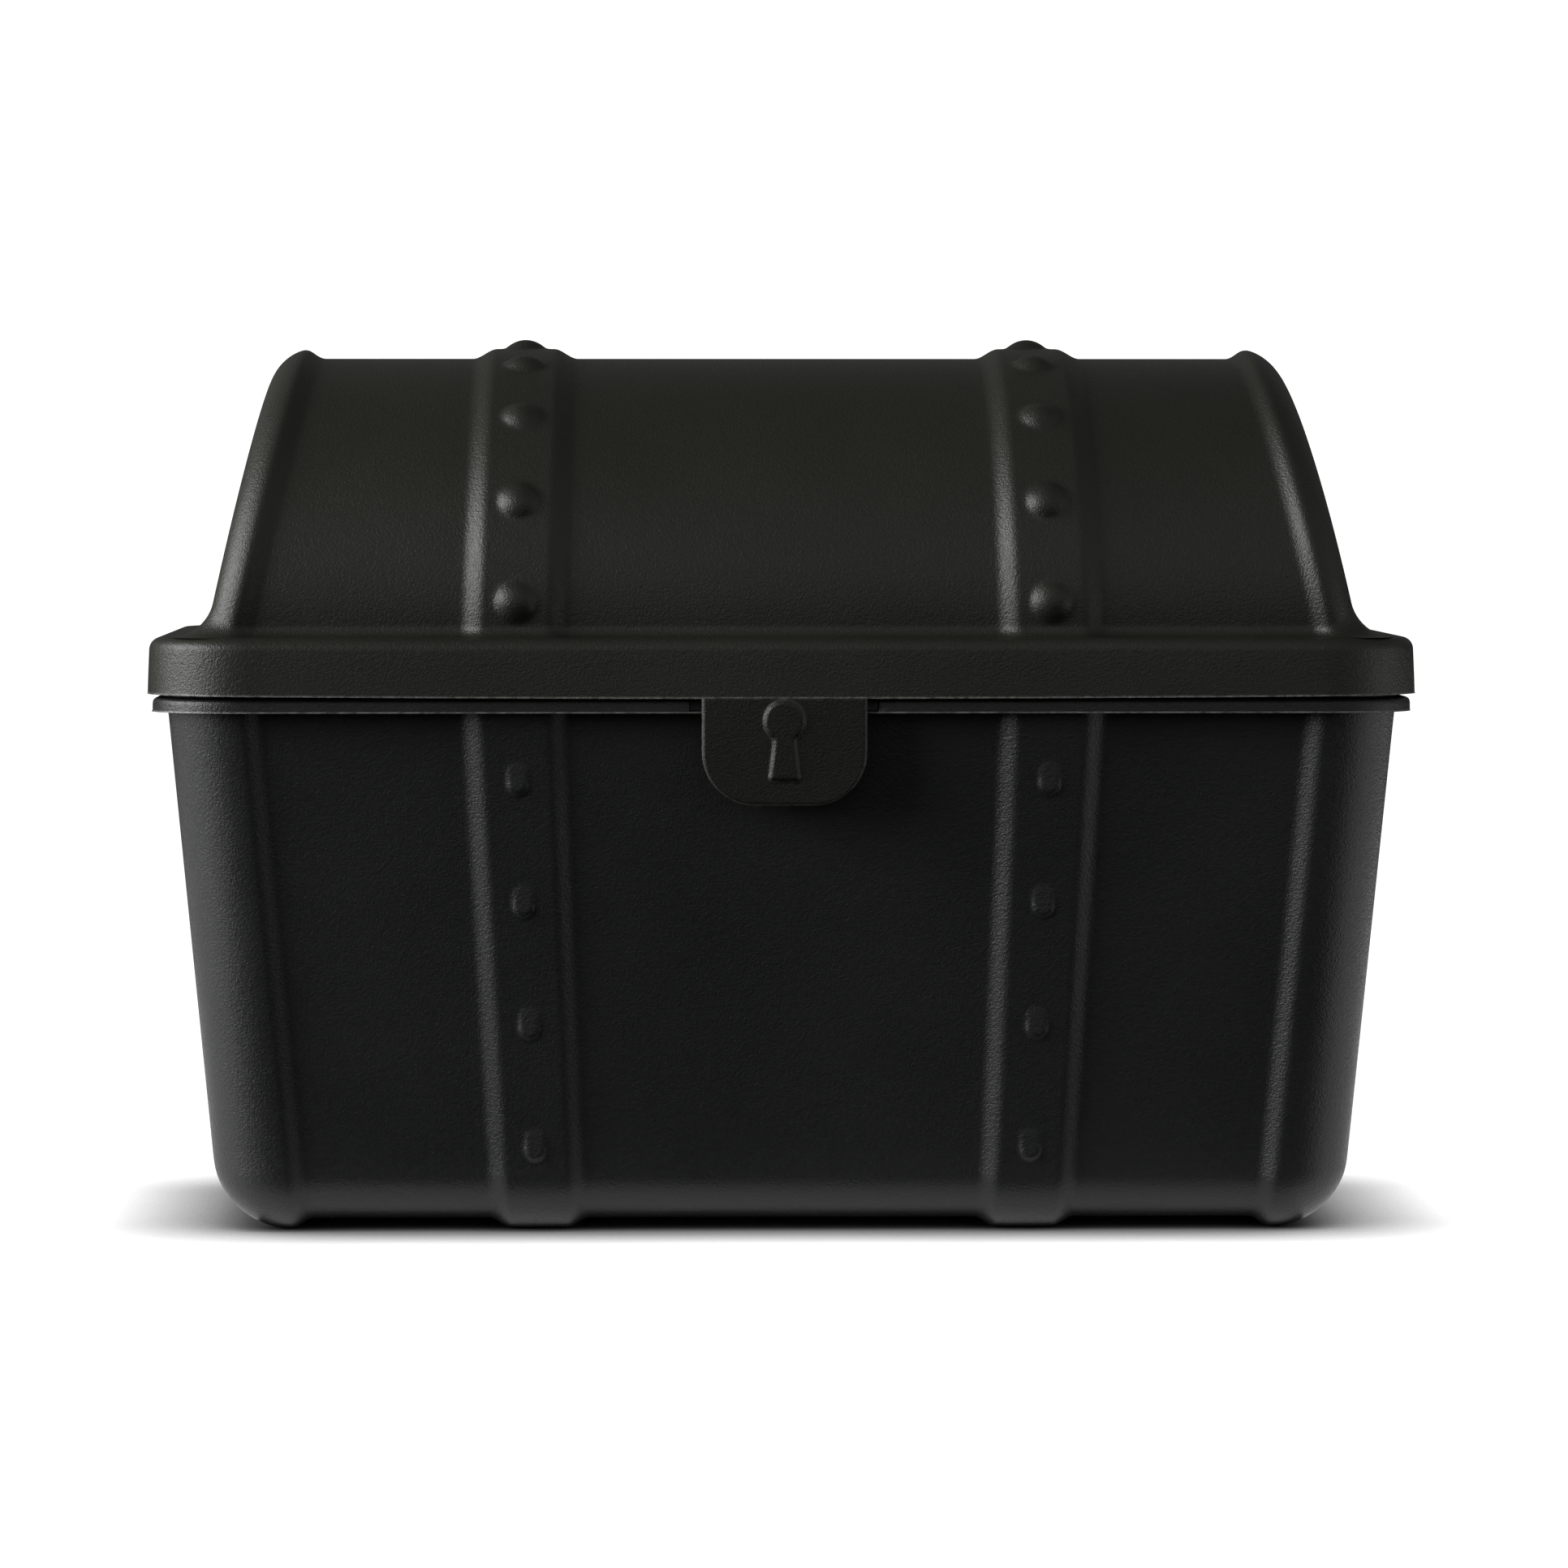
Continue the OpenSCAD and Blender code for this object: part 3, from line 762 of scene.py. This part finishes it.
lid_stations = Stations(DOME_W / 2, DOME_D / 2, DOME_END_R, overlap=BAND_OVERLAP)
lid_front, lid_flash_highlight_rows = lid_rows(lid_stations, True)
lid_back = lid_rows(lid_stations, False)[0]
lid_mesh = shell_mesh("lid_shell", lid_front, lid_back, lid_flash_highlight_rows)
lid = finish_mesh("lid_shell", lid_mesh, "lid", lid_plastic)
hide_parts("lid")


# ---------------------------------------------------------------- hinge parts

def knuckle_mesh(name, centres, length, bore, root, side):
    """Barrels on the hinge axis, each with a web to the wall in front of it.

    side is 1 for a web above the axis and -1 for one below it.
    """
    turns = np.linspace(0, 2 * np.pi, 96, endpoint=False)
    radius = np.full(len(turns), KNUCKLE_R)
    web = 3.5
    chamfer = 0.35
    for i, turn in enumerate(turns):
        cy = math.cos(turn)
        cz = math.sin(turn)
        if cy < -0.05 and cz * side >= -1e-9:
            to_wall = (root - hinge_y) / cy
            if abs(to_wall * cz) > web:
                to_wall = web / abs(cz)
            radius[i] = max(KNUCKLE_R, to_wall)
    points = []
    faces = []
    for centre in centres:
        start = len(points)
        half = length / 2
        # Rings along the barrel, each with its inset from the outline, or None for the bore.
        rings = [
            (-half, None), (-half, chamfer), (-half + chamfer, 0.0),
            (half - chamfer, 0.0), (half, chamfer), (half, None),
        ]
        for x, inset in rings:
            for i, turn in enumerate(turns):
                reach = bore if inset is None else radius[i] - inset
                points.append((
                    centre + x,
                    hinge_y + reach * math.cos(turn),
                    hinge_z + reach * math.sin(turn),
                ))
        count = len(turns)
        for a in range(len(rings)):
            b = (a + 1) % len(rings)
            for i in range(count):
                n = (i + 1) % count
                faces.append((
                    start + a * count + i, start + a * count + n,
                    start + b * count + n, start + b * count + i,
                ))
    return new_mesh(name, points, faces)


apart = (LID_KNUCKLE_L + TUB_KNUCKLE_L) / 2 + KNUCKLE_GAP
tub_barrels = knuckle_mesh(
    "tub_knuckles",
    [side * STRAP_X + end * apart for side in (-1, 1) for end in (-1, 1)],
    TUB_KNUCKLE_L, PIN_R + 0.01, FLANGE_D / 2 - 1.5, -1,
)
finish_mesh("tub_knuckles", tub_barrels, "base", tub_plastic)
lid_barrels = knuckle_mesh(
    "lid_knuckles", [-STRAP_X, STRAP_X], LID_KNUCKLE_L, PIN_R + 0.05, LID_D / 2 - 1, 1,
)
finish_mesh("lid_knuckles", lid_barrels, "lid", lid_plastic)

for node in ("hinge_pin_left", "hinge_pin_right"):
    pin = frame["nodes"][node]
    for slot in pin.material_slots:
        slot.material = pin_steel


# --------------------------------------------------------------- the lock tab

def tab_half_width(z):
    low = tab_low[2] + TAB_R - z
    side = TAB_W / 2 - TAB_R
    return np.where(low > 0, side + np.sqrt(np.maximum(TAB_R ** 2 - low ** 2, 0)), TAB_W / 2)


def tab_depth_inside(x, z):
    """How far a point of the tab's face is inside its outline."""
    side = TAB_W / 2 - TAB_R
    low = tab_low[2] + TAB_R - z
    corner = TAB_R - np.hypot(np.maximum(np.abs(x) - side, 0), np.maximum(low, 0))
    return np.where(low > 0, corner, np.minimum(TAB_W / 2 - np.abs(x), tab_high[2] - z + 0.6))


def keyhole_depth_inside(x, z):
    """How far a point of the tab's face is inside the outline of the raised keyhole."""
    head_z = tab_high[2] - KEYHOLE_D / 2 - 0.1
    foot_z = head_z - KEYHOLE_DROP
    head = KEYHOLE_D / 2 - np.hypot(x, z - head_z)
    flare = np.clip((head_z - z) / (head_z - foot_z), 0, 1)
    shank = NECK_HALF + FOOT_WIDENS * flare - np.abs(x)
    foot = z - foot_z
    corner = 1.4
    blend = 0.6
    far_out = 9
    cut = corner - np.hypot(np.maximum(corner - shank, 0), np.maximum(corner - foot, 0))
    shank = np.minimum(np.minimum(shank, foot), np.maximum(cut, np.minimum(shank, foot) - far_out))
    shank = np.where(z > head_z, -far_out, shank)
    return 0.5 * (head + shank + np.sqrt((head - shank) ** 2 + blend ** 2))


def keyhole_height(x, z):
    slope = np.clip(keyhole_depth_inside(x, z) / KEYHOLE_SLOPE, 0, 1)
    return KEYHOLE_H * (0.6 * slope + 0.4 * smoothstep(slope))


def tab_mesh():
    """The tab, as a grid of points on its face and the same grid on its flat back."""
    u = np.concatenate([
        -1 + np.array([0, 0.006, 0.013, 0.022, 0.033]),
        np.linspace(-0.945, 0.945, 151),
        1 - np.array([0.033, 0.022, 0.013, 0.006, 0]),
    ])
    fall = np.concatenate([
        [0, 0.06, 0.15, 0.28, 0.45, 0.65, 0.9, 1.2],
        np.linspace(1.5, tab_high[2] - tab_low[2] - 0.6, 100),
        [tab_high[2] - tab_low[2] - 0.3, tab_high[2] - tab_low[2]],
    ])
    z = (tab_low[2] + fall)[:, None] + np.zeros(len(u))
    x = u[None, :] * tab_half_width(z)
    # The face is rounded off along its sides and its foot, but not where it meets the skirt.
    bevel = 0.55 * (1 - smoothstep(tab_depth_inside(x, z) / 0.6))
    front = TAB_FACE_Y + bevel - keyhole_height(x, z)
    back = np.full_like(front, TAB_FACE_Y + TAB_T)
    rows, cols = z.shape
    points = np.concatenate([
        np.stack([x, front, z], -1).reshape(-1, 3),
        np.stack([x, back, z], -1).reshape(-1, 3),
    ])
    faces = []
    shift = rows * cols
    for i in range(rows - 1):
        for j in range(cols - 1):
            a = i * cols + j
            faces.append((a, a + 1, a + cols + 1, a + cols))
            faces.append((a + shift, a + cols + shift, a + cols + 1 + shift, a + 1 + shift))
    rim = list(range(cols))
    rim += [i * cols + cols - 1 for i in range(1, rows)]
    rim += [(rows - 1) * cols + j for j in range(cols - 2, -1, -1)]
    rim += [i * cols for i in range(rows - 2, 0, -1)]
    for a, b in zip(rim, rim[1:] + rim[:1]):
        faces.append((a, a + shift, b + shift, b))
    mesh = new_mesh("tab", points, faces)
    # Painted highlights, as pale lines: round the tab, along its top, and fainter round the foot of the
    # keyhole.
    line = 0.35
    rim_highlight = np.clip(1 - tab_depth_inside(x, z) / line, 0, 1)
    top_highlight = np.clip(1 - (tab_high[2] - z) / line, 0, 1)
    keyhole_highlight = np.clip(1 - np.abs(keyhole_depth_inside(x, z) - 0.3) / line, 0, 1) * 0.5
    share = np.maximum(np.maximum(rim_highlight, top_highlight), keyhole_highlight).ravel() * 0.5
    mark_painted_highlight(mesh, np.concatenate([share, share]))
    return mesh


def bar_mesh(name, half_length, outline):
    """A short bar along X with the given outline in Y and Z."""
    count = len(outline)
    points = [(x, y, z) for x in (-half_length, half_length) for y, z in outline]
    faces = [tuple(range(count)), tuple(range(2 * count - 1, count - 1, -1))]
    for i in range(count):
        n = (i + 1) % count
        faces.append((i, i + count, n + count, n))
    return new_mesh(name, points, faces)


tab = finish_mesh("keyhole_tab", tab_mesh(), "tab", tab_plastic_painted_shade)
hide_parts("lock_tab")

# The ridge behind the tab snaps past the catch on the tub.
tab_back = TAB_FACE_Y + TAB_T
ridge = bar_mesh("tab_ridge", CATCH_HALF, [
    (tab_back - 0.3, CATCH_Z - 0.6), (tab_back + 2.3, CATCH_Z - 0.6),
    (tab_back + 2.6, CATCH_Z - 0.9), (tab_back + 2.5, CATCH_Z - 1.4),
    (tab_back - 0.3, CATCH_Z - 3.6),
])
finish_mesh("tab_ridge", ridge, "tab", lid_plastic)
catch_front = -LID_D / 2 + 4.5
catch_root = -tub_half_d(CATCH_Z) + RELIEF + 1.2
catch = bar_mesh("tub_catch", CATCH_HALF, [
    (catch_root, CATCH_Z + 5), (catch_front, CATCH_Z + 1.8), (catch_front, CATCH_Z + 0.2),
    (catch_front + 0.3, CATCH_Z - 0.1), (catch_root, CATCH_Z - 1),
])
finish_mesh("tub_catch", catch, "base", tub_plastic)

# ---------------------------------------------------------------- the studio

def stage_material(name, tone, glow, contact_shadow_reach=None):
    """White paper that glows. With a contact reach, ambient occlusion dims its glow where the box
    stands on it: a painted contact shadow.
    """
    material = bpy.data.materials.new(name)
    material.use_nodes = True
    nodes = material.node_tree.nodes
    links = material.node_tree.links
    shader = nodes["Principled BSDF"]
    shader.inputs["Roughness"].default_value = 0.9
    shader.inputs["Specular IOR Level"].default_value = 0.0
    shader.inputs["Emission Color"].default_value = (1, 1, 1, 1)
    shader.inputs["Emission Strength"].default_value = glow
    cloud = nodes.new("ShaderNodeTexNoise")
    cloud.inputs["Scale"].default_value = 3
    mix = nodes.new("ShaderNodeMix")
    mix.data_type = "RGBA"
    mix.inputs[6].default_value = (tone * 0.98, tone * 0.98, tone * 0.98, 1)
    mix.inputs[7].default_value = (tone, tone, tone, 1)
    links.new(cloud.outputs["Fac"], mix.inputs["Factor"])
    links.new(mix.outputs[2], shader.inputs["Base Color"])
    # The contact shadow is painted: the glow falls off with ambient occlusion near the box.
    if contact_shadow_reach:
        open_sky = nodes.new("ShaderNodeAmbientOcclusion")
        open_sky.samples = 8
        open_sky.inputs["Distance"].default_value = contact_shadow_reach
        shade = nodes.new("ShaderNodeMath")
        shade.operation = "POWER"
        shade.inputs[1].default_value = 2.4
        strength = nodes.new("ShaderNodeMath")
        strength.operation = "MULTIPLY"
        strength.inputs[1].default_value = glow
        links.new(open_sky.outputs["AO"], shade.inputs[0])
        links.new(shade.outputs[0], strength.inputs[0])
        links.new(strength.outputs[0], shader.inputs["Emission Strength"])
    return material


def stage_sheet(name, points, faces, material, seen=False):
    """Paper that only the camera sees, or paper that lights the box unseen."""
    mesh = bpy.data.meshes.new(name)
    mesh.from_pydata(points, [], faces)
    mesh.shade_smooth()
    mesh.materials.append(material)
    sheet = bpy.data.objects.new(name, mesh)
    bpy.context.scene.collection.objects.link(sheet)
    if seen:
        sheet.visible_glossy = False
        sheet.visible_diffuse = False
        sheet.visible_shadow = False
        sheet.visible_transmission = False
    else:
        sheet.visible_camera = False


def stage_room(radius, paper, wall):
    """A round floor of paper with a dome of it all round, which only the camera sees."""
    turns = np.linspace(0, 2 * np.pi, 64, endpoint=False)
    count = len(turns)
    heights = np.linspace(0, np.pi / 2, 12)[:-1]
    points = [(0, 0, 0)]
    points += [(radius * math.cos(t), radius * math.sin(t), 0) for t in turns]
    faces = [(0, 1 + i, 1 + (i + 1) % count) for i in range(count)]
    stage_sheet("paper", points, faces, paper, seen=True)
    points = [
        (radius * math.cos(a) * math.cos(t), radius * math.cos(a) * math.sin(t), radius * math.sin(a))
        for a in heights for t in turns
    ]
    faces = [
        (ring * count + i, ring * count + (i + 1) % count,
         (ring + 1) * count + (i + 1) % count, (ring + 1) * count + i)
        for ring in range(len(heights) - 1) for i in range(count)
    ]
    stage_sheet("backdrop", points, faces, wall, seen=True)


def bounce_card(left, right, near, strip, spread, far, half_width, back):
    """The paper beside the box that lights it from below, and that the camera doesn't see.

    In front of the box it is only a narrow strip. It lies just under the paper that
    the camera sees, so that it doesn't shade that paper.
    """
    height = -0.0005
    under_x = 0.125
    under_y = near - strip
    for side, material in ((-1, left), (1, right)):
        outline = [
            (side * under_x, back), (side * half_width, back), (side * half_width, -far),
            (side * spread, -near), (side * under_x, -near),
        ]
        corners = [(x, y, height) for x, y in outline]
        stage_sheet("bounce_wing", corners, [(0, 1, 2, 3, 4)], material)
    for low, high in ((-near, -under_y), (under_y, back)):
        outline = [(-under_x, low), (under_x, low), (under_x, high), (-under_x, high)]
        corners = [(x, y, height) for x, y in outline]
        stage_sheet("bounce_strip", corners, [(0, 1, 2, 3)], left)


def soft_light(name, place, target, width, height, watts):
    light = bpy.data.lights.new(name, "AREA")
    light.shape = "RECTANGLE"
    light.size = width
    light.size_y = height
    light.energy = watts
    lamp = bpy.data.objects.new(name, light)
    lamp.location = place
    away = Vector(place) - Vector(target)
    lamp.rotation_euler = away.to_track_quat("Z", "Y").to_euler()
    bpy.context.scene.collection.objects.link(lamp)


def studio_world(low, around, zenith, behind):
    """Soft light from above that fades at the horizon, and is weaker straight up and behind."""
    world = bpy.data.worlds.new("studio")
    world.use_nodes = True
    nodes = world.node_tree.nodes
    links = world.node_tree.links
    direction = nodes.new("ShaderNodeTexCoord").outputs["Generated"]
    split = nodes.new("ShaderNodeSeparateXYZ")
    links.new(direction, split.inputs["Vector"])

    def fade(value, start, end, from_value, to_value):
        node = nodes.new("ShaderNodeMapRange")
        node.interpolation_type = "SMOOTHSTEP"
        for name, number in (
            ("From Min", start), ("From Max", end), ("To Min", from_value), ("To Max", to_value),
        ):
            node.inputs[name].default_value = number
        links.new(value, node.inputs["Value"])
        return node.outputs["Result"]

    def times(a, b):
        node = nodes.new("ShaderNodeMath")
        node.operation = "MULTIPLY"
        links.new(a, node.inputs[0])
        links.new(b, node.inputs[1])
        return node.outputs[0]

    rising = fade(split.outputs["Z"], 0.03, 0.22, low, around)
    height = times(rising, fade(split.outputs["Z"], 0.35, 1.0, 1.0, zenith))
    depth = fade(split.outputs["Y"], -0.3, 0.7, 1.0, behind)
    links.new(times(height, depth), nodes["Background"].inputs["Strength"])
    nodes["Background"].inputs["Color"].default_value = (1, 1, 1, 1)
    bpy.context.scene.world = world


stage_room(
    9.0,
    stage_material("paper", 0.03, 1.15, contact_shadow_reach=0.035),
    stage_material("backdrop_paper", 0.03, 1.15),
)
bounce_card(
    stage_material("left_card", 0.45, 0.78),
    stage_material("right_card", 0.55, 1.1),
    near=0.083, strip=0.02, spread=0.16, far=0.6, half_width=0.9, back=0.5,
)
soft_light("left_window", (-1.75, -0.42, 0.8), (0, 0, 0.12), 1.9, 1.25, 84)
soft_light("right_board", (1.6, -0.35, 0.12), (0, 0, 0.1), 1.2, 0.3, 2.4)
studio_world(low=0.01, around=0.58, zenith=0.40, behind=0.22)
bpy.context.scene.view_settings.view_transform = "Standard"

# ----------------------------------------------------------------- the camera

CAMERA_DISTANCE = 1.916
CAMERA_LEFT = math.radians(1.375)
CAMERA_UP = math.radians(2.33)
CAMERA_LENS = 181.1
SIGHT = (0.0019, MIDDLE_Y * MM, 0.1026)
camera_data = bpy.data.cameras.new("camera")
camera_data.sensor_width = 36
camera_data.lens = CAMERA_LENS
camera = bpy.data.objects.new("camera", camera_data)
level = CAMERA_DISTANCE * math.cos(CAMERA_UP)
camera.location = (
    SIGHT[0] - level * math.sin(CAMERA_LEFT),
    SIGHT[1] - level * math.cos(CAMERA_LEFT),
    SIGHT[2] + CAMERA_DISTANCE * math.sin(CAMERA_UP),
)
camera.rotation_euler = (math.radians(90) - CAMERA_UP, 0, -CAMERA_LEFT)
bpy.context.scene.collection.objects.link(camera)
bpy.context.scene.camera = camera
